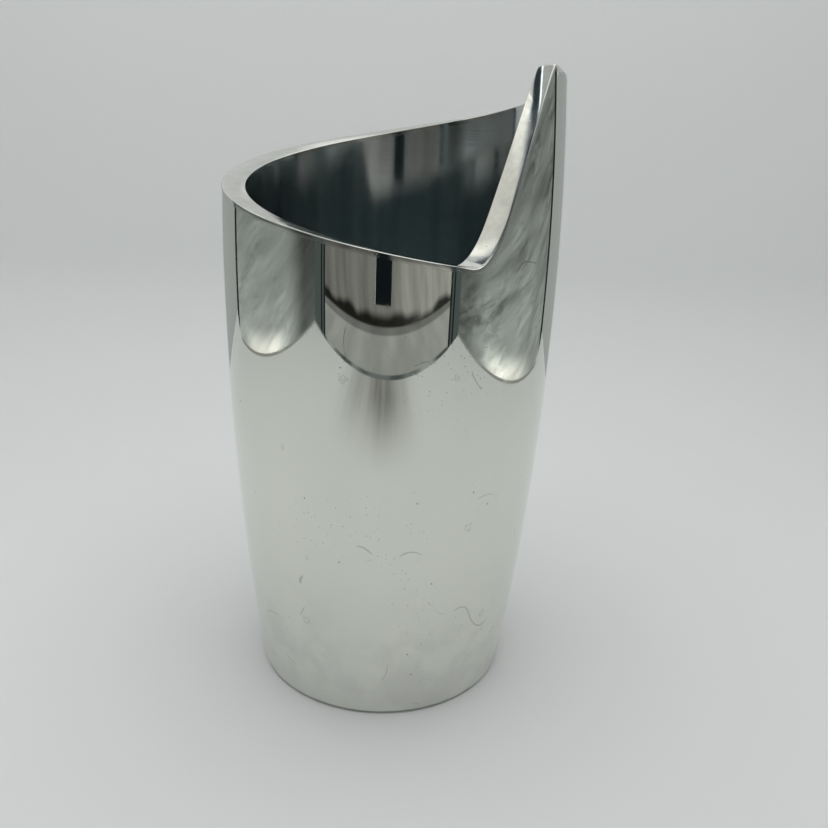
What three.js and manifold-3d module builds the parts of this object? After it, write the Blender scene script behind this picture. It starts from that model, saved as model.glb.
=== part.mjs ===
// Silver champagne bucket: a double-walled barrel whose rim climbs round it in one swirl and drops
// back down a steep cut face to a notch. Millimetres, Z up, front towards -Y, resting on Z = 0.
import * as THREE from "three";
import { mergeVertices } from "three/addons/utils/BufferGeometryUtils.js";
import Module from "manifold-3d";

const wasm = await Module();
wasm.setup();

// Driving dimensions of the outside.
const tipHeight = 254.3;
const bellyHeight = 176.7;
const footRadius = 55;
const bellyRadius = 66.9;
const topRadius = 63.4;

// Driving dimensions of the well the bottle stands in.
const wellFootRadius = 46.5;
const wellBellyRadius = 57.5;
const wellTopRadius = 56.7;
const wellFloor = 12;
const wellCornerRadius = 10;

// The rim. Angles are in degrees, counted from the tip and growing counter-clockwise from above.
const tipAzimuth = 60;
const swirlDrop = 73;
const rimLean = 1.1;
const leanFadeTurn = 12;
const cutTurn = -11.9;
const cutSlope = 2.84;
const slopeEase = 1.98;
const easeReach = 12.4;
const notchBlend = 19;
const tipBlend = 1;
const notchTurn = -36.7;
const tipSeamTurn = 2.5;

// Sheet, strips and joints.
const sheet = 1.5;
const gap = 0.3;
const stripThickness = 2;
const ribDepth = 5;
const edgeRound = 0.8;
const roundSteps = 3;

// Underside: foot flange, base plate, pads and the ring under the liner.
const footClearance = 0.8;
const footCornerRadius = 1.5;
const flangeInnerRadius = 47;
const plateThickness = 2;
const plateBossRadius = 30;
const plateBossHeight = 3;
const padCount = 4;
const padRadius = 6;
const padCircleRadius = 37;
const padPocketDepth = 0.6;
const ringWidth = 10;

// Turn angles of the columns every swirl-cut piece shares, as [start, end, steps] runs.
const columnRuns = [
  [0, 6, 4],
  [6, 300, 49],
  [300, 345, 15],
  [345, 360, 10],
];
const plainSegments = 48;
const padSegments = 24;
const wallRows = 8;

const columnTurns = columnRuns.flatMap(([start, end, steps]) =>
  Array.from({ length: steps }, (_, i) => start + ((end - start) * i) / steps));
columnTurns.push(0);

const radians = THREE.MathUtils.degToRad;

// Radius of a barrel made of two arcs that meet, upright, at the belly.
function barrelRadius(height, atFoot, atBelly, atTop) {
  const below = height < bellyHeight;
  const reach = below ? bellyHeight : tipHeight - bellyHeight;
  const fall = atBelly - (below ? atFoot : atTop);
  const arcRadius = (reach * reach + fall * fall) / (2 * fall);
  const away = height - bellyHeight;
  return atBelly - arcRadius + Math.sqrt(arcRadius * arcRadius - away * away);
}

function outerRadius(height) {
  return barrelRadius(height, footRadius, bellyRadius, topRadius);
}

function wellRadius(height) {
  return barrelRadius(height, wellFootRadius, wellBellyRadius, wellTopRadius);
}

// The larger of two heights, rounded off where they are closer than the blend.
function smoothMax(a, b, blend) {
  const share = THREE.MathUtils.clamp(0.5 + (a - b) / (2 * blend), 0, 1);
  return b * (1 - share) + a * share + blend * share * (1 - share);
}

function smoothMin(a, b, blend) {
  return -smoothMax(-a, -b, blend);
}

// Height of the rim: a helix falling away from the tip, met by one steep cut face that eases off
// towards the tip. The lean lowers the helix, and dies out where it reaches the tip.
function rimHeight(turn, radius, lean) {
  const fromTip = turn > 180 ? turn - 360 : turn;
  const leanHere = lean * THREE.MathUtils.smoothstep(fromTip, 0, leanFadeTurn);
  const before = tipHeight - (swirlDrop * fromTip) / 360 - leanHere;
  const after = tipHeight - (swirlDrop * (fromTip + 360)) / 360 - lean;
  const cutAngle = THREE.MathUtils.clamp(fromTip - cutTurn, -90, 90);
  const across = radius * Math.sin(radians(cutAngle)) - topRadius * Math.sin(radians(-cutTurn));
  const eased = slopeEase * easeReach * (1 - Math.exp(Math.min(across, 0) / easeReach));
  const rise = tipHeight + cutSlope * across + eased;
  return smoothMin(smoothMax(rise, after, notchBlend), before, tipBlend);
}

// How much longer a vertical drop has to be so that it measures true across the sloping rim.
function rimSteepness(turn, radius, lean) {
  const step = 1;
  const ahead = rimHeight((turn + step) % 360, radius, lean);
  const behind = rimHeight((turn + 360 - step) % 360, radius, lean);
  return Math.hypot(1, (ahead - behind) / (2 * radians(step) * radius));
}

// A point on the rim: inset from the outer face or from the well face, and dropped below the top.
function rimPoint(turn, face, inset, drop) {
  const settleSteps = 12;
  const outside = face === "outer";
  const lean = outside ? 0 : rimLean;
  let radius = outside ? bellyRadius : wellBellyRadius;
  let height = tipHeight;
  for (let i = 0; i < settleSteps; i += 1) {
    height = rimHeight(turn, radius, lean) - drop * rimSteepness(turn, radius, lean);
    radius = outside ? outerRadius(height) - inset : wellRadius(height) + inset;
  }
  return [radius, height];
}

// Closed solid from a three.js geometry.
function solidOf(geometry) {
  const bare = geometry.clone();
  bare.deleteAttribute("normal");
  bare.deleteAttribute("uv");
  const merged = mergeVertices(bare, 1e-4);
  const corners = merged.index.array;
  const kept = [];
  for (let i = 0; i < corners.length; i += 3) {
    const [a, b, c] = corners.slice(i, i + 3);
    if (a !== b && b !== c && c !== a) {
      kept.push(a, b, c);
    }
  }
  const vertProperties = new Float32Array(merged.attributes.position.array);
  const triVerts = new Uint32Array(kept);
  return new wasm.Manifold(new wasm.Mesh({ numProp: 3, vertProperties, triVerts }));
}

// Solid turned about Z from a profile of fixed points and of points that follow the rim.
function swirlTurned(profile) {
  const rows = profile.map((point) => (typeof point === "function" ? point : () => point));
  const outline = rows.map((row) => new THREE.Vector2(...row(0)));
  const geometry = new THREE.LatheGeometry(outline, columnTurns.length - 1);
  const positions = geometry.attributes.position;
  columnTurns.forEach((turn, column) => {
    const azimuth = radians(turn + tipAzimuth);
    rows.forEach((row, index) => {
      const [radius, height] = row(turn);
      const vertex = column * rows.length + index;
      positions.setXYZ(vertex, radius * Math.sin(azimuth), -radius * Math.cos(azimuth), height);
    });
  });
  return solidOf(geometry);
}

// Solid turned about Z from a plain closed profile.
function turned(profile) {
  const outline = profile.map(([radius, height]) => new THREE.Vector2(radius, height));
  const geometry = new THREE.LatheGeometry(outline, plainSegments);
  geometry.rotateX(Math.PI / 2);
  return solidOf(geometry);
}

// Upright cylinder standing at a given height.
function upright(radius, bottom, top, x, y) {
  const geometry = new THREE.CylinderGeometry(radius, radius, top - bottom, padSegments);
  geometry.rotateX(Math.PI / 2);
  geometry.translate(x, y, (bottom + top) / 2);
  return solidOf(geometry);
}

// Points round a quarter circle, from one direction to the next, in degrees.
function arcPoints(centre, radius, from, to, steps) {
  return Array.from({ length: steps + 1 }, (_, i) => {
    const angle = radians(from + ((to - from) * i) / steps);
    return [centre[0] + radius * Math.cos(angle), centre[1] + radius * Math.sin(angle)];
  });
}

// Rows climbing a wall from a fixed height to the rim joint.
function wallRowsUp(bottom, face, inset) {
  const radiusAt = face === "outer" ? outerRadius : wellRadius;
  const sign = face === "outer" ? -1 : 1;
  return Array.from({ length: wallRows + 1 }, (_, i) => (turn) => {
    const top = rimPoint(turn, face, inset, stripThickness + gap)[1];
    const height = bottom + ((top - bottom) * i) / wallRows;
    return [radiusAt(height) + sign * inset, height];
  });
}

function outerShell() {
  const cornerHeight = footClearance + footCornerRadius;
  const cornerCentre = [outerRadius(cornerHeight) - footCornerRadius, cornerHeight];
  const flangeTop = footClearance + sheet;
  const profile = [
    [flangeInnerRadius, flangeTop],
    [flangeInnerRadius, footClearance],
    ...arcPoints(cornerCentre, footCornerRadius, -90, 0, roundSteps).slice(0, -1),
    ...wallRowsUp(cornerHeight, "outer", 0),
    ...wallRowsUp(flangeTop, "outer", sheet).reverse(),
    [flangeInnerRadius, flangeTop],
  ];
  return swirlTurned(profile);
}

function innerLiner() {
  const cornerSteps = 5;
  const cornerHeight = wellFloor + wellCornerRadius;
  const cornerCentre = [wellRadius(cornerHeight) - wellCornerRadius, cornerHeight];
  const outside = wellCornerRadius + sheet;
  const profile = [
    [0, wellFloor - sheet],
    ...arcPoints(cornerCentre, outside, -90, 0, cornerSteps).slice(0, -1),
    ...wallRowsUp(cornerHeight, "well", sheet),
    ...wallRowsUp(cornerHeight, "well", 0).reverse(),
    ...arcPoints(cornerCentre, wellCornerRadius, 0, -90, cornerSteps).slice(1),
    [0, wellFloor],
  ];
  return swirlTurned(profile);
}

// Rounded top edge of a rim strip, climbing from the side face to the top.
function edgeRows(face) {
  return Array.from({ length: roundSteps + 1 }, (_, i) => {
    const angle = radians((90 * i) / roundSteps);
    const inset = edgeRound * (1 - Math.cos(angle));
    const drop = edgeRound * (1 - Math.sin(angle));
    return (turn) => rimPoint(turn, face, inset, drop);
  });
}

// The whole closing strip: a flat top with a locating rib that drops between the two walls.
function rimStrip() {
  const ribInset = sheet + gap;
  const ribFoot = (turn) => rimPoint(turn, "outer", ribInset, ribDepth);
  const profile = [
    ribFoot,
    (turn) => rimPoint(turn, "outer", ribInset, stripThickness),
    (turn) => rimPoint(turn, "outer", 0, stripThickness),
    ...edgeRows("outer"),
    ...edgeRows("well").reverse(),
    (turn) => rimPoint(turn, "well", 0, stripThickness),
    (turn) => rimPoint(turn, "well", ribInset, stripThickness),
    (turn) => rimPoint(turn, "well", ribInset, ribDepth),
    ribFoot,
  ];
  return swirlTurned(profile);
}

// Upright wedge over the steep face, from the notch to just behind the tip, grown by a margin.
function riseWedge(margin) {
  const reach = 2 * bellyRadius;
  const half = (tipSeamTurn - notchTurn) / 2;
  const middle = (tipSeamTurn + notchTurn) / 2 + tipAzimuth;
  const apex = -margin / Math.sin(radians(half));
  const wedge = new THREE.Shape();
  wedge.moveTo(apex, 0);
  wedge.lineTo(apex + reach, -reach * Math.tan(radians(half)));
  wedge.lineTo(apex + reach, reach * Math.tan(radians(half)));
  wedge.closePath();
  const geometry = new THREE.ExtrudeGeometry(wedge, { depth: 2 * tipHeight, bevelEnabled: false });
  geometry.rotateZ(radians(middle - 90));
  return solidOf(geometry);
}

function swirlRimStrip() {
  return rimStrip().subtract(riseWedge(gap / 2));
}

function riseRimStrip() {
  return rimStrip().intersect(riseWedge(-gap / 2));
}

// Centres of the pads on their circle.
function padCentres() {
  return Array.from({ length: padCount }, (_, i) => {
    const angle = radians((360 * (i + 0.5)) / padCount);
    return [padCircleRadius * Math.cos(angle), padCircleRadius * Math.sin(angle)];
  });
}

const plateBottom = footClearance + sheet + gap;
const plateTop = plateBottom + plateThickness;

// Stepped disc that drops on to the foot flange, with a boss above to centre the ring.
function basePlate() {
  const rimRadius = outerRadius(plateBottom) - sheet - gap;
  const stepRadius = flangeInnerRadius - gap;
  const profile = [
    [0, footClearance],
    [stepRadius, footClearance],
    [stepRadius, plateBottom],
    [rimRadius, plateBottom],
    [rimRadius, plateTop],
    [plateBossRadius, plateTop],
    [plateBossRadius, plateTop + plateBossHeight],
    [0, plateTop + plateBossHeight],
  ];
  const pocketTop = footClearance + padPocketDepth;
  return padCentres().reduce(
    (plate, [x, y]) => plate.subtract(upright(padRadius + gap, 0, pocketTop, x, y)),
    turned(profile));
}

// Ring the liner stands on, slipped over the boss of the base plate.
function linerSupportRing() {
  const inner = plateBossRadius + gap;
  const bottom = plateTop + gap;
  const top = wellFloor - sheet - gap;
  const profile = [
    [inner, bottom],
    [inner + ringWidth, bottom],
    [inner + ringWidth, top],
    [inner, top],
    [inner, bottom],
  ];
  return turned(profile);
}

function basePad([x, y]) {
  return upright(padRadius, 0, footClearance + padPocketDepth - gap, x, y);
}

// Mesh with its own material from a solid.
function meshOf(name, solid, color, roughness, metalness) {
  const { vertProperties, triVerts } = solid.getMesh();
  const geometry = new THREE.BufferGeometry();
  geometry.setAttribute("position", new THREE.BufferAttribute(vertProperties, 3));
  geometry.setIndex(new THREE.BufferAttribute(triVerts, 1));
  geometry.computeVertexNormals();
  const mesh = new THREE.Mesh(
    geometry, new THREE.MeshStandardMaterial({ color, roughness, metalness }));
  mesh.name = name;
  return mesh;
}

const bucket = new THREE.Group();
bucket.name = "champagne_bucket";
bucket.add(meshOf("outer_shell", outerShell(), 0xc9ccca, 0.22, 1));
bucket.add(meshOf("inner_liner", innerLiner(), 0xb4b8ba, 0.25, 1));
bucket.add(meshOf("swirl_rim_strip", swirlRimStrip(), 0xd0d2d0, 0.2, 1));
bucket.add(meshOf("rise_rim_strip", riseRimStrip(), 0xd4d5d2, 0.18, 1));
bucket.add(meshOf("base_plate", basePlate(), 0xa9acab, 0.45, 1));
bucket.add(meshOf("liner_support_ring", linerSupportRing(), 0x6b5238, 0.9, 0));
padCentres().forEach((centre, i) => {
  bucket.add(meshOf(`base_pad_${i + 1}`, basePad(centre), 0x26272a, 0.85, 0));
});

export default bucket;
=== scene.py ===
"""Looks of the silver champagne bucket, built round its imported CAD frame.

Lengths are in metres and turns in degrees. Z is up, and the bucket's front faces -Y.
"""

import math

import bmesh
import bpy
import numpy as np
from mathutils import Matrix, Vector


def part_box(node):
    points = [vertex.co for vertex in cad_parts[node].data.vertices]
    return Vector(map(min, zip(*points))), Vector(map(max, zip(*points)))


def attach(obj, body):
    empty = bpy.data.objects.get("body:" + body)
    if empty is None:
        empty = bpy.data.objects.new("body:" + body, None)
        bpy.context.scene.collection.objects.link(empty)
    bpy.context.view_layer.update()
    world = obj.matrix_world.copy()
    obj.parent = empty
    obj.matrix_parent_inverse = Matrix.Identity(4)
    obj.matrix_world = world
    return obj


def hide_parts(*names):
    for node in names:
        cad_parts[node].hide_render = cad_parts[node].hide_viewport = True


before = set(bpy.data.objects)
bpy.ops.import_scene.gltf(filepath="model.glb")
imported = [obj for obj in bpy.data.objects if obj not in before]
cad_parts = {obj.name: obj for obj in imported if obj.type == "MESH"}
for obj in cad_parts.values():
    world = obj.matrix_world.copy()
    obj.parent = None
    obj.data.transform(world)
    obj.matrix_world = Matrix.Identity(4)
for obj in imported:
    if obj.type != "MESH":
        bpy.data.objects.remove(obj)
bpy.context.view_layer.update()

MM = 0.001

# Driving dimensions of the outside and of the well, as in the CAD model.
TIP_HEIGHT = 254.3 * MM
BELLY_HEIGHT = 176.7 * MM
FOOT_RADIUS = 55 * MM
BELLY_RADIUS = 66.9 * MM
TOP_RADIUS = 63.4 * MM
WELL_FOOT_RADIUS = 46.5 * MM
WELL_BELLY_RADIUS = 57.5 * MM
WELL_TOP_RADIUS = 56.7 * MM
WELL_FLOOR = 12 * MM
WELL_CORNER = 10 * MM

# The rim. Turns are counted from the tip, counter-clockwise from above.
TIP_AZIMUTH = 60
SWIRL_DROP = 73 * MM
RIM_LEAN = 1.1 * MM
LEAN_FADE_TURN = 12
CUT_TURN = -11.9
CUT_SLOPE = 2.84
SLOPE_EASE = 1.98
EASE_REACH = 12.4 * MM
NOTCH_BLEND = 19 * MM
TIP_BLEND = 1 * MM
NOTCH_TURN = 360 - 36.7
TIP_SEAM_TURN = 2.5

# Sheet, strips and seams. A seam here is the hairline a polished soldered joint shows.
SHEET = 1.5 * MM
SEAM = 0.03 * MM
STRIP = 2 * MM
RIB_DEPTH = 5 * MM
RIB_CLEARANCE = 0.3 * MM
EDGE_ROUND = 0.4 * MM
RIM_CROWN = 0.11 * MM

# Small cutter nicks along the rim's outer edge, at the back.
NICK_FROM = 131
NICK_TO = 157
NICK_FADE = 3
NICK_PITCH = 1.1
NICK_DEPTH = 0.28 * MM

# Underside, taken from the CAD nodes where they say it.
FOOT_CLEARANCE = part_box("outer_shell")[0].z
FOOT_CORNER = 1.5 * MM
FLANGE_RADIUS = 47 * MM
PLATE_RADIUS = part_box("base_plate")[1].x
PLATE_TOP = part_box("base_plate")[1].z
BOSS_RADIUS = 30 * MM
BOSS_RISE = 3 * MM
PADS = [name for name in sorted(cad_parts) if name.startswith("base_pad_")]

# Fineness of the meshes. The hub is the smallest ring of a turned piece, next to its axis.
SEEN_ROWS = 64
HIDDEN_ROWS = 16
HUB_RADIUS = 0.2 * MM
SETTLING_ROUNDS = 12

# The studio: a photo tent round the bucket, its front edge, its apron and a curtain beyond.
STUDIO_TURN = math.radians(1.66)
TENT_LEFT = -0.53
TENT_RIGHT = 0.46
TENT_FRONT = -0.485
TENT_BACK = 0.30
TENT_HEIGHT = 0.8
JAMB_LEFT = -0.412
JAMB_RIGHT = 0.361
CURTAIN = -0.72
SWEEP_START = 0.22
SWEEP_RADIUS = 0.12
CARD_GAP = 0.002
APRON_LIFT = 0.0008
SHADE_LIFT = 0.0012

# The camera, as a phone held in front of the bucket.
CAMERA_AWAY = 337.9 * MM
CAMERA_HEIGHT = 236.4 * MM
CAMERA_HEADING = math.radians(1.95)
CAMERA_PITCH = math.radians(19.92)
CAMERA_ROLL = math.radians(2.23)
CAMERA_LENS = 36.04


# ---------------------------------------------------------------- shape of the bucket

def barrel_radius(height, foot, belly, top):
    """Radius of a barrel made of two arcs that meet, upright, at the belly."""
    below = height < BELLY_HEIGHT
    reach = np.where(below, BELLY_HEIGHT, TIP_HEIGHT - BELLY_HEIGHT)
    fall = belly - np.where(below, foot, top)
    arc = (reach**2 + fall**2) / (2 * fall)
    return belly - arc + np.sqrt(arc**2 - (height - BELLY_HEIGHT) ** 2)


def outer_radius(height):
    return barrel_radius(height, FOOT_RADIUS, BELLY_RADIUS, TOP_RADIUS)


def well_radius(height):
    return barrel_radius(height, WELL_FOOT_RADIUS, WELL_BELLY_RADIUS, WELL_TOP_RADIUS)


def smooth_max(a, b, blend):
    """The larger of two heights, rounded off where they are closer than the blend."""
    share = np.clip(0.5 + (a - b) / (2 * blend), 0, 1)
    return b * (1 - share) + a * share + blend * share * (1 - share)


def smooth_min(a, b, blend):
    return -smooth_max(-a, -b, blend)


def rim_height(turn, radius, lean):
    """Height of the rim: a helix falling away from the tip, met by one steep cut face.

    The lean lowers the helix, and dies out where it reaches the tip.
    """
    from_tip = (turn + 180) % 360 - 180
    fade_in = np.clip(from_tip / LEAN_FADE_TURN, 0, 1)
    before = TIP_HEIGHT - SWIRL_DROP * from_tip / 360 - lean * fade_in**2 * (3 - 2 * fade_in)
    after = TIP_HEIGHT - SWIRL_DROP * (from_tip + 360) / 360 - lean
    cut_angle = np.radians(np.clip(from_tip - CUT_TURN, -90, 90))
    across = radius * np.sin(cut_angle) - TOP_RADIUS * math.sin(math.radians(-CUT_TURN))
    eased = SLOPE_EASE * EASE_REACH * (1 - np.exp(np.minimum(across, 0) / EASE_REACH))
    rise = TIP_HEIGHT + CUT_SLOPE * across + eased
    return smooth_min(smooth_max(rise, after, NOTCH_BLEND), before, TIP_BLEND)


def rim_steepness(turn, radius, lean):
    """How much longer a vertical drop has to be to measure true across the sloping rim."""
    step = 1
    ahead = rim_height(turn + step, radius, lean)
    behind = rim_height(turn - step, radius, lean)
    return np.hypot(1, (ahead - behind) / (2 * math.radians(step) * radius))


def rim_point(turn, share, inset, drop):
    """Radius and height below the rim, share of the way from the outer face to the well face.

    The height depends on the radius and the radius on the height, so they settle in rounds.
    """
    radius = BELLY_RADIUS
    lean = share * RIM_LEAN
    for _ in range(SETTLING_ROUNDS):
        height = rim_height(turn, radius, lean) - drop * rim_steepness(turn, radius, lean)
        radius = outer_radius(height) * (1 - share) + well_radius(height) * share - inset
    return radius, height


def turns_between(start, end, step):
    return np.linspace(start, end, max(2, round(abs(end - start) / step) + 1))


def turns_around(step):
    """Turns all the way round, without the last one, which is the first again."""
    return turns_between(0, 360 - step, step)


def rim_turns(start, end):
    """Turns from start to end: fine round the tip, the nicks and the cut face, wider elsewhere."""
    fine, middling, wide = 0.25, 0.5, 1.0
    tip_end, cut_start, tip_start = 8, 280, 350
    stretches = [
        (0, tip_end, fine),
        (tip_end, NICK_FROM, wide),
        (NICK_FROM, NICK_TO, NICK_PITCH / 4),
        (NICK_TO, cut_start, wide),
        (cut_start, tip_start, middling),
        (tip_start, 360 + tip_end, fine),
    ]
    runs = []
    for low, high, step in stretches:
        low, high = max(low, start), min(high, end)
        if high > low:
            runs.append(turns_between(low, high, step))
    return np.unique(np.concatenate(runs).round(6))


# ---------------------------------------------------------------- mesh making

def finish_piece(name, mesh, material, replaced):
    """Shades a new mesh smooth, gives it its material and stands it in for its CAD node."""
    sharp_angle = math.radians(40)
    mesh.validate()
    mesh.set_sharp_from_angle(angle=sharp_angle)
    mesh.materials.append(material)
    piece = bpy.data.objects.new(name, mesh)
    bpy.context.scene.collection.objects.link(piece)
    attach(piece, "root")
    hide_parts(replaced)


def turned_mesh(name, turns, rows, whole):
    """Mesh of section rows carried round the axis. Whole turns close; part turns get end caps."""
    radius = np.stack([np.broadcast_to(row[0], turns.shape) for row in rows], axis=1)
    height = np.stack([np.broadcast_to(row[1], turns.shape) for row in rows], axis=1)
    azimuth = np.radians(turns + TIP_AZIMUTH)[:, None]
    points = np.stack([radius * np.sin(azimuth), -radius * np.cos(azimuth), height], axis=2)
    columns, count = radius.shape
    made = bmesh.new()
    corners = [[made.verts.new(point) for point in column] for column in points]
    for c in range(columns if whole else columns - 1):
        here, there = corners[c], corners[(c + 1) % columns]
        for r in range(count):
            s = (r + 1) % count
            made.faces.new((here[r], there[r], there[s], here[s]))
    if not whole:
        made.faces.new(list(reversed(corners[0])))
        made.faces.new(corners[-1])
    bmesh.ops.remove_doubles(made, verts=made.verts, dist=1e-7)
    bmesh.ops.recalc_face_normals(made, faces=made.faces)
    for face in made.faces:
        face.smooth = True
    mesh = bpy.data.meshes.new(name)
    made.to_mesh(mesh)
    made.free()
    return mesh


def arc_rows(radius, height, size, start, end, steps):
    """Rows round a circular corner, from one direction to another in degrees."""
    angles = np.radians(np.linspace(start, end, steps + 1))
    return [(radius + size * math.cos(a), height + size * math.sin(a)) for a in angles]


def wall_rows(turns, bottom, share, inset, count):
    """Rows climbing a wall from a fixed height to the seam under the rim strip.

    The share is 0 for the outer wall and 1 for the well's.
    """
    _, top = rim_point(turns, share, inset, STRIP + SEAM)
    rows = []
    for step in np.linspace(0, 1, count + 1):
        height = bottom + (top - bottom) * step
        face = outer_radius(height) * (1 - share) + well_radius(height) * share
        rows.append((face - inset, height))
    return rows


# ---------------------------------------------------------------- the bucket's pieces

def outer_shell(material):
    """Outer wall of the barrel, with its rounded foot and the flange turned in below."""
    turns = rim_turns(0, 360)[:-1]
    corner = FOOT_CLEARANCE + FOOT_CORNER
    corner_radius = float(outer_radius(corner)) - FOOT_CORNER
    flange_top = FOOT_CLEARANCE + SHEET
    rows = [(FLANGE_RADIUS, flange_top), (FLANGE_RADIUS, FOOT_CLEARANCE)]
    rows += arc_rows(corner_radius, corner, FOOT_CORNER, -90, 0, steps=6)[:-1]
    rows += wall_rows(turns, corner, 0, 0, SEEN_ROWS)
    rows += wall_rows(turns, flange_top, 0, SHEET, HIDDEN_ROWS)[::-1]
    mesh = turned_mesh("outer_shell_skin", turns, rows, whole=True)
    finish_piece("outer_shell_skin", mesh, material, "outer_shell")


def inner_liner(material):
    """The well: its wall, the rounded corner at the bottom and its flat floor."""
    turns = rim_turns(0, 360)[:-1]
    corner = WELL_FLOOR + WELL_CORNER
    corner_radius = float(well_radius(corner)) - WELL_CORNER
    rows = [(0, WELL_FLOOR - SHEET)]
    rows += arc_rows(corner_radius, corner, WELL_CORNER + SHEET, -90, 0, steps=10)[:-1]
    rows += wall_rows(turns, corner, 1, -SHEET, HIDDEN_ROWS)
    rows += wall_rows(turns, corner, 1, 0, SEEN_ROWS)[::-1]
    rows += arc_rows(corner_radius, corner, WELL_CORNER, 0, -90, steps=10)[1:]
    rows += [(corner_radius * share, WELL_FLOOR) for share in (0.66, 0.33)]
    rows += [(HUB_RADIUS, WELL_FLOOR), (0, WELL_FLOOR)]
    mesh = turned_mesh("inner_liner_skin", turns, rows, whole=True)
    finish_piece("inner_liner_skin", mesh, material, "inner_liner")


def strip_section():
    """Section of a rim strip: its rib, the outer edge, the crowned top and the well edge.

    A point is a share of the way across, an inset from that wall's face and a drop below the rim.
    """
    corner_steps, top_steps = 6, 10
    rib_inset = SHEET + RIB_CLEARANCE
    outer, well = [], []
    for angle in np.radians(np.linspace(0, 90, corner_steps + 1)):
        inset = EDGE_ROUND * (1 - math.cos(angle))
        drop = RIM_CROWN + EDGE_ROUND * (1 - math.sin(angle))
        outer.append((0, inset, drop))
        well.append((1, -inset, drop))
    top = [(share, EDGE_ROUND * (1 - 2 * share), RIM_CROWN * (2 * share - 1) ** 2)
           for share in np.linspace(0, 1, top_steps + 1)[1:-1]]
    outer_rib = [(0, rib_inset, RIB_DEPTH), (0, rib_inset, STRIP), (0, 0, STRIP)]
    well_rib = [(1, 0, STRIP), (1, -rib_inset, STRIP), (1, -rib_inset, RIB_DEPTH)]
    return outer_rib + outer + top + well[::-1] + well_rib


def nicks(turns):
    """Depth of the cutter nicks in the rim's outer edge; uneven, and dying out at both ends."""
    fade_in = np.clip((turns - NICK_FROM) / NICK_FADE, 0, 1)
    fade_out = np.clip((NICK_TO - turns) / NICK_FADE, 0, 1)
    uneven = 0.7 + 0.3 * np.sin(turns * 1.7) * np.sin(turns * 0.9)
    wave = 0.5 + 0.5 * np.cos(2 * math.pi * (turns - NICK_FROM) / NICK_PITCH)
    return NICK_DEPTH * (fade_in * fade_out) * uneven * wave


def rim_strip(name, node_name, start, end, material):
    """Strip that closes the gap between the two walls along one stretch of the rim."""
    half_seam = math.degrees(SEAM / BELLY_RADIUS)
    turns = rim_turns(start + half_seam, end - half_seam)
    rows = []
    for share, inset, drop in strip_section():
        on_outer_edge = share == 0 and drop < STRIP
        cut = nicks(turns) if on_outer_edge else 0
        rows.append(rim_point(turns, share, inset + cut, drop + cut))
    mesh = turned_mesh(name, turns, rows, whole=False)
    finish_piece(name, mesh, material, node_name)


def base_plate(material):
    """Turned disc with a rounded step, a centring boss above and three fine grooves below."""
    step_radius = FLANGE_RADIUS - SEAM
    step_height = FOOT_CLEARANCE + SHEET + SEAM
    plate_top = PLATE_TOP - BOSS_RISE
    groove_depth, groove_half, soft = 0.25 * MM, 0.35 * MM, 0.4 * MM
    rows = [(0, FOOT_CLEARANCE), (HUB_RADIUS, FOOT_CLEARANCE)]
    for groove in (12 * MM, 22 * MM, 28 * MM):
        rows += [(groove - groove_half, FOOT_CLEARANCE),
                 (groove, FOOT_CLEARANCE + groove_depth),
                 (groove + groove_half, FOOT_CLEARANCE)]
    rows += arc_rows(step_radius - soft, FOOT_CLEARANCE + soft, soft, -90, 0, steps=4)
    rows += [(step_radius, step_height), (PLATE_RADIUS, step_height),
             (PLATE_RADIUS, plate_top), (BOSS_RADIUS, plate_top)]
    rows += arc_rows(BOSS_RADIUS - soft, PLATE_TOP - soft, soft, 0, 90, steps=4)
    rows += [(HUB_RADIUS, PLATE_TOP), (0, PLATE_TOP)]
    mesh = turned_mesh("base_plate_turned", turns_around(2), rows, whole=True)
    finish_piece("base_plate_turned", mesh, material, "base_plate")


def base_pad(node_name, material):
    """Round rubber pad with a rolled edge and a shallow dished foot."""
    low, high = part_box(node_name)
    centre = (low + high) / 2
    radius = (high.x - low.x) / 2
    soft, dish_depth = 0.35 * MM, 0.15 * MM
    dish_floor, dish_edge = radius * 0.55, radius * 0.68
    # the visual plate has no pockets, so the pad stops at its face
    top = FOOT_CLEARANCE - SEAM
    rows = [(0, low.z + dish_depth), (dish_floor, low.z + dish_depth), (dish_edge, low.z)]
    rows += arc_rows(radius - soft, low.z + soft, soft, -90, 0, steps=4)
    rows += [(radius, top), (0, top)]
    mesh = turned_mesh(node_name + "_rubber", turns_around(8), rows, whole=True)
    mesh.transform(Matrix.Translation((centre.x, centre.y, 0)))
    finish_piece(node_name + "_rubber", mesh, material, node_name)


# ---------------------------------------------------------------- node helpers

def add(tree, kind, sockets=None, **settings):
    """Adds a node. sockets maps inputs to values or to other nodes' outputs."""
    made = tree.nodes.new(kind)
    for key, value in settings.items():
        setattr(made, key, value)
    for key, value in (sockets or {}).items():
        if isinstance(value, bpy.types.NodeSocket):
            tree.links.new(value, made.inputs[key])
        else:
            made.inputs[key].default_value = value
    return made


def calc(tree, operation, a, b=0.0):
    return add(tree, "ShaderNodeMath", {0: a, 1: b}, operation=operation).outputs[0]


def plus(tree, a, b):
    return calc(tree, "ADD", a, b)


def minus(tree, a, b):
    return calc(tree, "SUBTRACT", a, b)


def times(tree, first, *factors):
    """Product of all the values."""
    product = first
    for factor in factors:
        product = calc(tree, "MULTIPLY", product, factor)
    return product


def distance(tree, value, centre):
    """How far a value is from the centre, on either side."""
    return calc(tree, "ABSOLUTE", minus(tree, value, centre))


def fade(tree, value, low, high, out_low=0.0, out_high=1.0):
    """Value mapped smoothly and clamped from low..high to out_low..out_high."""
    sockets = {"Value": value, "From Min": low, "From Max": high,
               "To Min": out_low, "To Max": out_high}
    return add(tree, "ShaderNodeMapRange", sockets, interpolation_type="SMOOTHSTEP").outputs[0]


def fade_away(tree, value, low, high):
    """One below low, zero above high, smooth between them."""
    return fade(tree, value, low, high, 1, 0)


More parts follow.
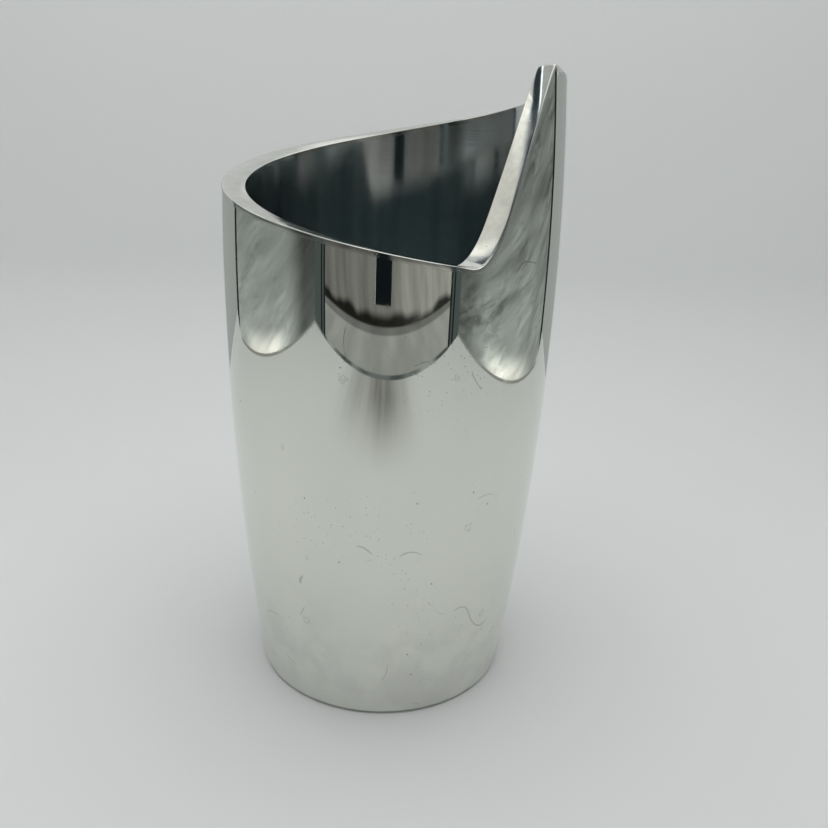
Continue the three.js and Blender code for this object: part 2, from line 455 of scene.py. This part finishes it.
def stretched(tree, vector, scale):
    return add(tree, "ShaderNodeMapping", {"Vector": vector, "Scale": scale}).outputs[0]


def noise(tree, vector, scale, detail, roughness=0.5, twist=0.0):
    """Smooth noise from zero to one. The scale is features per metre."""
    sockets = {"Vector": vector, "Scale": scale, "Detail": detail, "Roughness": roughness,
               "Distortion": twist}
    return add(tree, "ShaderNodeTexNoise", sockets).outputs["Fac"]


def line_of(tree, value, scale):
    """A place on a line, scaled up, for noise that varies in one direction only."""
    return add(tree, "ShaderNodeCombineXYZ", {0: times(tree, value, scale)}).outputs[0]


def mix(tree, share, under, over):
    """Colour under, going over to colour over by the share."""
    return add(tree, "ShaderNodeMix", {0: share, 6: under, 7: over}, data_type="RGBA").outputs[2]


def stained(tree, under, share, strength, stain):
    """Colour under, stained where the share is one, as far as the strength says."""
    return mix(tree, times(tree, share, strength), under, stain)


def bump_on(tree, height, strength, depth, normal=None):
    """Fine relief, on top of an earlier one if there is one."""
    sockets = {"Height": height, "Strength": strength, "Distance": depth}
    if normal is not None:
        sockets["Normal"] = normal
    return add(tree, "ShaderNodeBump", sockets).outputs[0]


def place(tree):
    """The point on the object, in metres in the row frame."""
    return add(tree, "ShaderNodeTexCoord").outputs["Object"]


def coordinates(tree):
    """The point's x, y and z, in metres in the row frame."""
    parts = add(tree, "ShaderNodeSeparateXYZ", {0: place(tree)}).outputs
    return parts["X"], parts["Y"], parts["Z"]


def new_material(name):
    material = bpy.data.materials.new(name)
    material.use_nodes = True
    tree = material.node_tree
    tree.nodes.clear()
    return material, tree


def surface(tree, shader):
    """Makes the shader the look of the material."""
    add(tree, "ShaderNodeOutputMaterial", {"Surface": shader.outputs[0]})


def principled(tree, tint, rough, normal, metallic=0.0):
    """Finishes a material of the bucket with its colour, its roughness and its fine relief."""
    sockets = {"Base Color": tint, "Metallic": metallic, "Roughness": rough, "Normal": normal}
    surface(tree, add(tree, "ShaderNodeBsdfPrincipled", sockets))


# ---------------------------------------------------------------- marks on the metal

def scratches(tree, point, scale, width, bare):
    """Fine hair scratches: contour lines of a slow noise, broken up by a second one.

    The more of the surface is to stay bare, the closer bare is to one.
    """
    field = noise(tree, point, scale, detail=1.0)
    line = fade_away(tree, distance(tree, field, 0.5), 0, width)
    patches = fade(tree, noise(tree, point, scale * 1.7, detail=1.0), bare, bare + 0.03)
    return times(tree, line, patches)


def scattered(tree, point, spacing, rarity, lot):
    """Scattered cells: the distance from a cell's centre, and one in the cells that are kept.

    The rarity is the share of the cells that isn't kept.
    """
    cells = add(tree, "ShaderNodeTexVoronoi", {"Vector": point, "Scale": 1 / spacing}).outputs
    chosen = add(tree, "ShaderNodeSeparateColor", {0: cells["Color"]}).outputs[lot]
    return cells["Distance"], fade(tree, chosen, rarity, rarity + 0.02)


def pits(tree, point, spacing, size, rarity, bare):
    """Scattered small casting pits, gathered in loose clusters. The size is a share of a cell."""
    clusters_per_metre = 22.0
    from_centre, kept = scattered(tree, point, spacing, rarity, "Red")
    spot = fade_away(tree, from_centre, size * 0.5, size)
    cluster = fade(tree, noise(tree, point, clusters_per_metre, detail=2.0), bare, bare + 0.1)
    return times(tree, spot, kept, cluster)


def drop_marks(tree, point, spacing, size, rarity):
    """Faint uneven rings, as dried drops leave. The size is a share of a cell."""
    from_centre, kept = scattered(tree, point, spacing, rarity, "Blue")
    wobble = size * 0.45
    uneven = fade(tree, noise(tree, point, 900.0, detail=2.0), 0.3, 0.7, -wobble, wobble)
    off_ring = distance(tree, plus(tree, from_centre, uneven), size)
    return times(tree, fade_away(tree, off_ring, size * 0.12, size * 0.4), kept)


# ---------------------------------------------------------------- materials of the bucket

def shell_metal():
    """Bright polished wall: clouding, smudges, casting pits, drop marks and hair scratches."""
    bright, clouded = (0.80, 0.81, 0.757, 1), (0.715, 0.735, 0.688, 1)
    darker_low_tone, marked, dried = (0.58, 0.58, 0.55, 1), (0.30, 0.30, 0.28, 1), (0.40, 0.41, 0.38, 1)
    material, tree = new_material("polished_shell")
    point = place(tree)
    _, _, height = coordinates(tree)
    cloud = noise(tree, stretched(tree, point, (1, 1, 0.35)), 30.0, detail=4.0)
    smudge = fade(tree, noise(tree, point, 60.0, detail=5.0, roughness=0.65), 0.45, 0.75)
    fine_pit = pits(tree, point, spacing=1.5 * MM, size=0.22, rarity=0.62, bare=0.52)
    large_pit = pits(tree, point, spacing=7 * MM, size=0.085, rarity=0.72, bare=0.42)
    pit = calc(tree, "MAXIMUM", fine_pit, large_pit)
    drop = drop_marks(tree, point, spacing=15 * MM, size=0.085, rarity=0.84)
    hair = scratches(tree, point, 26.0, width=0.005, bare=0.58)
    # Patches, darker and rougher towards the foot.
    near_foot = fade_away(tree, height, 20 * MM, 75 * MM)
    low_patches = fade(tree, noise(tree, point, 48.0, detail=4.0, roughness=0.6), 0.42, 0.62)
    low_patches = times(tree, low_patches, near_foot)

    tint = mix(tree, cloud, clouded, bright)
    tint = stained(tree, tint, low_patches, 0.35, darker_low_tone)
    tint = stained(tree, tint, pit, 0.6, marked)
    tint = stained(tree, tint, hair, 0.6, marked)
    tint = stained(tree, tint, drop, 0.35, dried)

    rough = plus(tree, fade(tree, smudge, 0, 1, 0.025, 0.07), times(tree, pit, 0.3))
    rough = plus(tree, rough, times(tree, plus(tree, hair, low_patches), 0.12))
    ripple = noise(tree, stretched(tree, point, (1, 1, 0.5)), 26.0, detail=1.0)
    normal = bump_on(tree, ripple, 0.12, 0.4 * MM)
    normal = bump_on(tree, plus(tree, pit, hair), -0.4, 0.05 * MM, normal)
    principled(tree, tint, rough, normal, metallic=1.0)
    return material


def liner_metal():
    """Spun inside wall: cooler, with fine rings left by the tool and faint upright streaks."""
    groove, land = (0.72, 0.765, 0.775, 1), (0.79, 0.835, 0.84, 1)
    material, tree = new_material("spun_liner")
    point = place(tree)
    rings = noise(tree, stretched(tree, point, (4, 4, 900)), 1.0, detail=2.0)
    fine_rings = noise(tree, stretched(tree, point, (4, 4, 2600)), 1.0, detail=1.0)
    streak = noise(tree, stretched(tree, point, (1, 1, 0.06)), 90.0, detail=2.0)
    rough = plus(tree, fade(tree, streak, 0.3, 0.7, 0.06, 0.13), times(tree, rings, 0.05))
    normal = bump_on(tree, rings, 0.25, 0.02 * MM)
    normal = bump_on(tree, fine_rings, 1.0, 0.012 * MM, normal)
    principled(tree, mix(tree, rings, groove, land), rough, normal, metallic=1.0)
    return material


def rim_metal():
    """Milled and buffed rim: bright, smeared and stained, with faint cutter marks across it."""
    smeared, bright = (0.76, 0.77, 0.735, 1), (0.89, 0.89, 0.86, 1)
    stain_grey, speck_white = (0.62, 0.62, 0.57, 1), (0.96, 0.96, 0.93, 1)
    cutter_marks_per_radian = 480.0
    material, tree = new_material("milled_rim")
    point = place(tree)
    x, y, _ = coordinates(tree)
    around = calc(tree, "ARCTAN2", x, y)
    marks = noise(tree, line_of(tree, around, cutter_marks_per_radian), 1.0, detail=1.0)
    cut = times(tree, marks, fade(tree, noise(tree, point, 45.0, detail=3.0), 0.5, 0.7))
    smear = noise(tree, stretched(tree, point, (1, 1, 0.3)), 130.0, detail=4.0)
    stain = fade(tree, noise(tree, point, 240.0, detail=4.0, roughness=0.65), 0.35, 0.65)
    speck = pits(tree, point, spacing=1.3 * MM, size=0.22, rarity=0.7, bare=0.44)

    tint = mix(tree, smear, smeared, bright)
    tint = stained(tree, tint, stain, 0.3, stain_grey)
    tint = stained(tree, tint, speck, 0.5, speck_white)

    rough = plus(tree, fade(tree, smear, 0.3, 0.7, 0.05, 0.17), times(tree, speck, 0.2))
    normal = bump_on(tree, plus(tree, cut, speck), 0.3, 0.03 * MM)
    normal = bump_on(tree, smear, 0.2, 0.05 * MM, normal)
    principled(tree, tint, rough, normal, metallic=1.0)
    return material


def base_metal():
    """Satin turned underside with rings round the axis, and grime."""
    groove, land, dirt = (0.56, 0.57, 0.57, 1), (0.70, 0.71, 0.71, 1), (0.30, 0.29, 0.27, 1)
    rings_per_metre = 1400.0
    material, tree = new_material("turned_base")
    point = place(tree)
    flat = stretched(tree, point, (1, 1, 0))
    away = add(tree, "ShaderNodeVectorMath", {0: flat}, operation="LENGTH").outputs["Value"]
    rings = noise(tree, line_of(tree, away, rings_per_metre), 1.0, detail=3.0)
    grime = fade(tree, noise(tree, point, 90.0, detail=5.0), 0.5, 0.75)
    tint = stained(tree, mix(tree, rings, groove, land), grime, 0.5, dirt)
    rough = fade(tree, grime, 0, 1, 0.28, 0.5)
    principled(tree, tint, rough, bump_on(tree, rings, 0.4, 0.05 * MM), metallic=1.0)
    return material


def rubber():
    """Matte black rubber with a fine moulded texture and dust."""
    black, dusty = (0.028, 0.028, 0.03, 1), (0.13, 0.125, 0.12, 1)
    material, tree = new_material("pad_rubber")
    point = place(tree)
    grain = noise(tree, point, 2500.0, detail=2.0)
    dust = fade(tree, noise(tree, point, 500.0, detail=4.0), 0.5, 0.8)
    rough = fade(tree, dust, 0, 1, 0.62, 0.85)
    principled(tree, mix(tree, dust, black, dusty), rough, bump_on(tree, grain, 0.4, 0.05 * MM))
    return material


def cork():
    """Pressed cork granules with dark specks between them."""
    brown, tan, speck = (0.36, 0.24, 0.14, 1), (0.55, 0.40, 0.25, 1), (0.14, 0.08, 0.045, 1)
    granules_per_metre = 600.0
    material, tree = new_material("pressed_cork")
    sockets = {"Vector": place(tree), "Scale": granules_per_metre}
    cells = add(tree, "ShaderNodeTexVoronoi", sockets).outputs
    shade = add(tree, "ShaderNodeSeparateColor", {0: cells["Color"]}).outputs["Green"]
    edge = fade(tree, cells["Distance"], 0.35, 0.7)
    tint = mix(tree, edge, mix(tree, shade, brown, tan), speck)
    principled(tree, tint, 0.9, bump_on(tree, edge, -0.5, 0.2 * MM))
    return material


# ---------------------------------------------------------------- studio cards

def studio_object(name, mesh, material):
    """Adds a studio piece, turned with the rest of the studio."""
    mesh.transform(Matrix.Rotation(STUDIO_TURN, 4, "Z"))
    mesh.materials.append(material)
    made = bpy.data.objects.new(name, mesh)
    bpy.context.scene.collection.objects.link(made)
    return made


def card(name, corners, material):
    """Flat card that shows only in reflections, so it never hides the bucket."""
    mesh = bpy.data.meshes.new(name)
    mesh.from_pydata(corners, [], [(0, 1, 2, 3)])
    made = studio_object(name, mesh, material)
    made.visible_camera = False
    made.visible_diffuse = False
    made.visible_shadow = False


def upright_card(name, start, end, bottom, top, material):
    (x0, y0), (x1, y1) = start, end
    card(name, [(x0, y0, bottom), (x1, y1, bottom), (x1, y1, top), (x0, y0, top)], material)


def level_card(name, x0, x1, y0, y1, height, material):
    corners = [(x0, y0, height), (x1, y0, height), (x1, y1, height), (x0, y1, height)]
    card(name, corners, material)


# ---------------------------------------------------------------- studio cloths, glowing with painted light and shade

def lit(tree, colour, level, cover=None):
    """Cloth that glows, with its light and shade painted in, as a reflection sees it. What lies
    behind shows through where it doesn't cover.
    """
    shader = add(tree, "ShaderNodeEmission", {"Color": colour, "Strength": level})
    if cover is not None:
        clear = add(tree, "ShaderNodeBsdfTransparent").outputs[0]
        shader = add(tree, "ShaderNodeMixShader", {0: cover, 1: clear, 2: shader.outputs[0]})
    surface(tree, shader)


def plain_cloth(name, colour):
    """Plain cloth, glowing with even painted light."""
    material, tree = new_material(name)
    lit(tree, colour, 1.0)
    return material


def creases(tree, across, across_scale, height, height_scale, slant=0.0, **fineness):
    """Noise on a hanging cloth, with creases that lean by the slant. Scales are per metre."""
    leaning = plus(tree, across, times(tree, height, slant))
    sockets = {0: times(tree, leaning, across_scale), 1: times(tree, height, height_scale)}
    flat = add(tree, "ShaderNodeCombineXYZ", sockets).outputs[0]
    return noise(tree, flat, 1.0, **fineness)


def tent_cloth(name, tone, front_shade, high_shade, fold, crumple, slant):
    """Silver cloth of a tent wall, glowing with painted light: a painted highlight where it rolls
    on to the floor, and painted light above the bucket.

    The tone is how bright it is at the bucket's height, and the shades are how far painted shade
    darkens it towards the front and above the belly. Fold and crumple are how much the painted
    light and shade of its slow folds and its fine creases vary it.
    """
    cool, warm_lit_tint, blue = (0.93, 1.0, 0.965, 1), (1.0, 1.0, 0.93, 1), (0.62, 0.82, 1.0, 1)
    roll_middle, roll_painted_highlight, low_painted_light = -0.04, 0.42, 1.4
    upper_painted_light, high_painted_light, top_level = 0.56, 1.7, 0.06
    material, tree = new_material(name)
    _, depth, height = coordinates(tree)
    slow = creases(tree, depth, 6.0, height, 14.0, slant, detail=3.0, twist=0.6)
    fine = creases(tree, depth, 22.0, height, 50.0, slant, detail=4.0, roughness=0.6, twist=0.8)
    where = fade(tree, creases(tree, depth, 5.0, height, 12.0, detail=1.0), 0.38, 0.6)
    fold_shade = fade(tree, slow, 0.3, 0.7, 1 - fold, 1 + fold)
    crease_shade = times(tree, fade(tree, fine, 0.3, 0.7, -crumple, crumple), where)

    # Where painted light falls: a highlight where the cloth rolls on to the floor, light above the
    # bucket, and a dark band at the top towards the front.
    near_middle = fade_away(tree, distance(tree, depth, roll_middle), 0.07, 0.24)
    roll_highlight = times(tree, fade_away(tree, height, 0.008, 0.036), near_middle)
    upper_light = fade(tree, height, 0.30, 0.44)
    top = fade(tree, minus(tree, height, depth), 0.725, 0.80)

    # Painted light and shade: the roll's highlight, shade towards the front, light low down, shade
    # above the belly, light above the bucket, the folds' and creases' light and shade, and light
    # high up.
    level = plus(tree, tone, times(tree, roll_highlight, roll_painted_highlight))
    level = times(tree, level, fade(tree, depth, -0.40, -0.22, front_shade, 1))
    level = times(tree, level, fade(tree, height, 0.02, 0.14, low_painted_light, 1))
    level = times(tree, level, fade(tree, height, 0.16, 0.20, 1, high_shade))
    level = plus(tree, level, times(tree, upper_light, upper_painted_light))
    level = times(tree, level, plus(tree, fold_shade, crease_shade))
    level = times(tree, level, fade(tree, height, 0.57, 0.64, 1, high_painted_light))
    level = times(tree, level, fade(tree, top, 0, 1, 1, top_level))
    # Warmer tint where the painted light falls, blue in the dark top band.
    tint = mix(tree, calc(tree, "MAXIMUM", upper_light, roll_highlight), cool, warm_lit_tint)
    lit(tree, mix(tree, top, tint, blue), level)
    return material


def curtain_cloth():
    """Grey curtain in soft folds, glowing, with painted light and shade in its folds, a painted
    shadow at its foot, and darker above.
    """
    left_tone, right_tone, foot_shadow_level, upper_level = 0.17, 0.33, 0.08, 0.5
    material, tree = new_material("curtain_cloth")
    across, _, height = coordinates(tree)
    fold_light_and_shade = creases(tree, across, 10.0, height, 3.0, 0.4, detail=3.0, roughness=0.55)
    waves = creases(tree, across, 5.0, height, 0.0, detail=1.0)
    hem = plus(tree, height, fade(tree, waves, 0.35, 0.65, -0.008, 0.006))
    # Painted light and shade of the folds, on a tone that rises from left to right.
    level = times(tree, fade(tree, fold_light_and_shade, 0.3, 0.7, 0.75, 1.25),
                  fade(tree, across, -0.15, 0.30, left_tone, right_tone))
    # Painted shadow along the curtain's foot.
    level = times(tree, level, fade(tree, hem, 0.004, 0.022, foot_shadow_level, 1))
    level = times(tree, level, fade(tree, height, 0.10, 0.16, 1, upper_level))
    lit(tree, (1.0, 1.0, 0.92, 1), level)
    return material


def apron_cloth():
    """Pale mat before the tent, glowing: a darker band along the curtain, a paler one along the
    tent, and a painted shadow line at the curtain's foot.
    """
    band_tone, mat_tone, curtain_shadow_level = 0.17, 0.32, 0.08
    band_edge, curtain_shadow_edge = CURTAIN + 0.055, CURTAIN + 0.008
    material, tree = new_material("apron_cloth")
    across, depth, _ = coordinates(tree)
    patch = creases(tree, across, 7.0, depth, 3.0, detail=2.0)
    level = fade(tree, depth, band_edge, band_edge + 0.010, band_tone, mat_tone)
    # Painted shadow where the curtain meets the mat.
    level = times(tree, level, fade(tree, depth, curtain_shadow_edge, curtain_shadow_edge + 0.014, curtain_shadow_level, 1))
    level = times(tree, level, fade(tree, patch, 0.3, 0.7, 0.85, 1.15))
    lit(tree, (0.97, 1.0, 0.95, 1), level)
    return material


def edge_shadow():
    """Broken dark line under the tent's front edge."""
    material, tree = new_material("edge_shadow")
    across, depth, _ = coordinates(tree)
    gaps = creases(tree, across, 7.0, depth, 0.0, detail=1.0)
    lit(tree, (0.9, 1.0, 0.97, 1), fade(tree, gaps, 0.40, 0.68, 0.08, 0.34))
    return material


def floor_shade():
    """Soft dark patch on the floor just inside the front edge."""
    patch_middle, patch_level = -0.035, 0.13
    material, tree = new_material("floor_shade")
    across, depth, _ = coordinates(tree)
    streak = creases(tree, across, 14.0, depth, 1.5, detail=2.0)
    near_middle = fade_away(tree, distance(tree, across, patch_middle), 0.0, 0.22)
    near_front = fade_away(tree, depth, -0.44, -0.24)
    streaks = fade(tree, streak, 0.35, 0.65, 0.55, 0.95)
    lit(tree, (1.0, 0.97, 0.9, 1), patch_level, times(tree, near_middle, near_front, streaks))
    return material


def roof_cloth():
    """Roof of the tent, glowing with painted light: grey, brighter on the right, with a slanted
    light bar that stands for a lamp and a dark gap.
    """
    neutral, blue = (0.97, 1.0, 0.98, 1), (0.7, 0.88, 1.0, 1)
    bar_slant, bar_depth, bar_glow = 1.28, 0.555, 1.6
    grey, right_painted_light, gap_level, past_gap_painted_light = 0.42, 0.7, 0.11, 0.2
    gap_end, gap_fade = 0.13, 0.20
    material, tree = new_material("roof_cloth")
    across, depth, _ = coordinates(tree)
    past_bar = minus(tree, minus(tree, depth, times(tree, across, bar_slant)), bar_depth)
    bar = fade_away(tree, calc(tree, "ABSOLUTE", past_bar), 0.010, 0.018)
    gap = times(tree, fade(tree, past_bar, -0.004, 0.004),
                fade_away(tree, past_bar, gap_end, gap_fade))
    # Painted light, brighter on the right and past the gap.
    level = plus(tree, grey, fade(tree, across, -0.15, -0.05, 0, right_painted_light))
    level = plus(tree, level, fade(tree, past_bar, gap_end, gap_fade, 0, past_gap_painted_light))
    level = times(tree, level, fade(tree, gap, 0, 1, 1, gap_level))
    level = plus(tree, level, times(tree, bar, bar_glow))
    lit(tree, mix(tree, gap, neutral, blue), level)
    return material


def back_cloth(middle, half_width, foot):
    """Back of the tent above the sweep, glowing with painted light: brightest low down, with one
    painted bright patch high up.

    It fades out towards its sides and its foot.
    """
    patch_middle, painted_patch_glow = -0.065, 0.35
    material, tree = new_material("back_cloth")
    across, _, height = coordinates(tree)
    off_patch = distance(tree, across, patch_middle)
    patch = times(tree, fade_away(tree, off_patch, 0.008, 0.03), fade(tree, height, 0.33, 0.35))
    # Painted light: brightest low down, and a painted bright patch high up.
    level = fade(tree, height, 0.14, 0.20, 0.95, 0.55)
    level = times(tree, level, fade(tree, height, 0.22, 0.26, 1, 0.95))
    level = plus(tree, level, times(tree, patch, painted_patch_glow))
    off_middle = distance(tree, across, middle)
    cover = times(tree, fade_away(tree, off_middle, half_width / 2, half_width),
                  fade(tree, height, foot, foot + 0.05))
    lit(tree, (0.98, 1.0, 0.98, 1), level, cover)
    return material


def paper():
    """Matte pale paper of the floor and the sweep. The camera sees through it from behind.

    It is cut out under the bucket, where only a look from below can reach.
    """
    grey, pale = (0.79, 0.80, 0.795, 1), (0.81, 0.82, 0.815, 1)
    material, tree = new_material("studio_paper")
    point = place(tree)
    grain = noise(tree, point, 900.0, detail=2.0)
    sheet = add(tree, "ShaderNodeBsdfDiffuse", {"Color": mix(tree, grain, grey, pale)}).outputs[0]
    clear = add(tree, "ShaderNodeBsdfTransparent").outputs[0]
    away = add(tree, "ShaderNodeVectorMath", {0: point}, operation="LENGTH").outputs["Value"]
    opening = fade_away(tree, away, FLANGE_RADIUS - MM, FLANGE_RADIUS)
    behind = add(tree, "ShaderNodeNewGeometry").outputs["Backfacing"]
    share = calc(tree, "MAXIMUM", behind, opening)
    surface(tree, add(tree, "ShaderNodeMixShader", {0: share, 1: sheet, 2: clear}))
    return material


# ---------------------------------------------------------------- studio pieces

def floor_and_sweep():
    """Floor that runs far forward and curves up into a backdrop behind the bucket."""
    half_width, front, top, steps = 4.0, -6.0, 1.1, 24
    outline = [(front, 0.0)]
    for angle in np.radians(np.linspace(0, 90, steps + 1)):
        outline.append((SWEEP_START + SWEEP_RADIUS * math.sin(angle),
                        SWEEP_RADIUS * (1 - math.cos(angle))))
    outline.append((SWEEP_START + SWEEP_RADIUS, top))
    points = [(x, y, z) for y, z in outline for x in (-half_width, half_width)]
    faces = [(i, i + 1, i + 3, i + 2) for i in range(0, len(points) - 2, 2)]
    mesh = bpy.data.meshes.new("floor_sweep")
    mesh.from_pydata(points, [], faces)
    mesh.shade_smooth()
    studio_object("floor_sweep", mesh, paper())


def tent_side(side, wall, jamb, cloth, grey, black, seam):
    """One side of the tent: its wall, floor seam and rear piping, its front jamb and its piping."""
    rear_pipe, jamb_pipe, pipe_pitch, seam_height = 0.035, 0.014, 0.028, 0.004
    inward = 1 if wall < 0 else -1
    near = wall + inward * CARD_GAP
    pipe_front = TENT_FRONT + CARD_GAP
    upright_card(f"tent_wall_{side}", (wall, TENT_FRONT), (wall, TENT_BACK),
                 0, TENT_HEIGHT, cloth)
    upright_card(f"tent_front_{side}", (wall, TENT_FRONT), (jamb, TENT_FRONT),
                 0, TENT_HEIGHT, grey)
    upright_card(f"rear_piping_{side}", (near, TENT_BACK), (near, TENT_BACK - rear_pipe),
                 0, TENT_HEIGHT, black)
    upright_card(f"floor_seam_{side}", (near, TENT_FRONT), (near, TENT_BACK),
                 0, seam_height, seam)
    for index in range(2):
        start = jamb - inward * pipe_pitch * index
        upright_card(f"jamb_piping_{side}_{index}", (start, pipe_front),
                     (start - inward * jamb_pipe, pipe_front), 0, TENT_HEIGHT, black)


def tent():
    """The tent's side walls, front jambs and black piping, as the bucket's walls mirror them."""
    black = plain_cloth("black_piping", (0.012, 0.014, 0.014, 1))
    grey = plain_cloth("shaded_cloth", (0.075, 0.092, 0.092, 1))
    seam = plain_cloth("floor_seam", (0.26, 0.265, 0.25, 1))
    left = tent_cloth("left_cloth", tone=0.285, front_shade=0.25, high_shade=0.35,
                      fold=0.15, crumple=0.14, slant=4.0)
    right = tent_cloth("right_cloth", tone=0.25, front_shade=0.4, high_shade=0.75,
                       fold=0.26, crumple=0.36, slant=-4.0)
    tent_side("left", TENT_LEFT, JAMB_LEFT, left, grey, black, seam)
    tent_side("right", TENT_RIGHT, JAMB_RIGHT, right, grey, black, seam)


def tent_ends():
    """Roof and back of the tent, and the shaded rear corners."""
    back_middle, back_half, back_foot, back_top = -0.03, 0.10, 0.10, 0.5
    corner_reach, corner_foot, corner_top = 0.2, 0.03, 0.3
    corner_depth = TENT_BACK - CARD_GAP
    corner = plain_cloth("rear_corner", (0.345, 0.365, 0.36, 1))
    level_card("tent_roof", TENT_LEFT, TENT_RIGHT, TENT_FRONT, TENT_BACK,
               TENT_HEIGHT - CARD_GAP, roof_cloth())
    upright_card("tent_back", (back_middle - back_half, TENT_BACK),
                 (back_middle + back_half, TENT_BACK), back_foot, back_top,
                 back_cloth(back_middle, back_half, back_foot))
    for side, wall, inner in (("left", TENT_LEFT, -corner_reach),
                              ("right", TENT_RIGHT, corner_reach)):
        upright_card(f"rear_corner_{side}", (wall, corner_depth), (inner, corner_depth),
                     corner_foot, corner_top, corner)


def front():
    """What lies beyond the tent's open front: an apron and a curtain with a slit for the camera."""
    dark = plain_cloth("dark_room", (0.006, 0.009, 0.011, 1))
    cloth = curtain_cloth()
    far, half_line = 1.6, 0.008
    slit_left, slit_right, slit_foot, slit_depth = -0.12, 0.005, 0.03, 0.02
    shade_left, shade_right, shade_back = -0.26, 0.2, -0.24
    behind_slit = CURTAIN - slit_depth
    level_card("apron", -far, far, CURTAIN, TENT_FRONT, APRON_LIFT, apron_cloth())
    level_card("front_edge", JAMB_LEFT, JAMB_RIGHT, TENT_FRONT - half_line,
               TENT_FRONT + half_line, SHADE_LIFT, edge_shadow())
    level_card("floor_shade", shade_left, shade_right, TENT_FRONT + half_line,
               shade_back, SHADE_LIFT, floor_shade())
    upright_card("curtain_left", (-far, CURTAIN), (slit_left, CURTAIN), 0, TENT_HEIGHT, cloth)
    upright_card("curtain_right", (slit_right, CURTAIN), (far, CURTAIN), 0, TENT_HEIGHT, cloth)
    upright_card("slit_foot", (slit_left, CURTAIN), (slit_right, CURTAIN), 0, slit_foot, cloth)
    upright_card("curtain_slit", (slit_left, behind_slit), (slit_right, behind_slit),
                 0, TENT_HEIGHT, dark)


def lights():
    """One broad soft box overhead and an even pale surround."""
    data = bpy.data.lights.new("soft_box", "AREA")
    data.shape = "RECTANGLE"
    data.size = 0.9
    data.size_y = 0.7
    data.energy = 3.35
    box = bpy.data.objects.new("soft_box", data)
    box.location = (-0.03, -0.08, 0.85)
    box.visible_glossy = False
    bpy.context.scene.collection.objects.link(box)
    world = bpy.data.worlds.new("studio_air")
    world.use_nodes = True
    background = world.node_tree.nodes["Background"]
    background.inputs["Color"].default_value = (0.97, 1.0, 0.99, 1)
    background.inputs["Strength"].default_value = 0.43
    bpy.context.scene.world = world


def camera():
    """Camera in front of and above the bucket, looking slightly down on it."""
    data = bpy.data.cameras.new("camera")
    data.sensor_width = 36
    data.lens = CAMERA_LENS
    made = bpy.data.objects.new("camera", data)
    turn = Matrix.Rotation(STUDIO_TURN, 4, "Z")
    aim = (Matrix.Rotation(-CAMERA_HEADING, 4, "Z")
           @ Matrix.Rotation(math.pi / 2 - CAMERA_PITCH, 4, "X")
           @ Matrix.Rotation(CAMERA_ROLL, 4, "Z"))
    made.matrix_world = turn @ Matrix.Translation((0, -CAMERA_AWAY, CAMERA_HEIGHT)) @ aim
    bpy.context.scene.collection.objects.link(made)
    bpy.context.scene.camera = made


# ---------------------------------------------------------------- the whole scene

def dress_bucket():
    """Makes every piece of the bucket, and gives the cork ring its material."""
    polished = shell_metal()
    rim = rim_metal()
    pad = rubber()
    outer_shell(polished)
    inner_liner(liner_metal())
    rim_strip("swirl_rim", "swirl_rim_strip", TIP_SEAM_TURN, NOTCH_TURN, rim)
    rim_strip("rise_rim", "rise_rim_strip", NOTCH_TURN, 360 + TIP_SEAM_TURN, rim)
    base_plate(base_metal())
    for name in PADS:
        base_pad(name, pad)
    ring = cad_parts["liner_support_ring"]
    ring.data.materials.clear()
    ring.data.materials.append(cork())


def render_look():
    """Plain colours, and bounces enough for the well to mirror itself."""
    scene = bpy.context.scene
    scene.view_settings.view_transform = "Standard"
    scene.cycles.max_bounces = 24
    scene.cycles.glossy_bounces = 20
    scene.cycles.diffuse_bounces = 4


dress_bucket()
floor_and_sweep()
tent()
tent_ends()
front()
lights()
camera()
render_look()
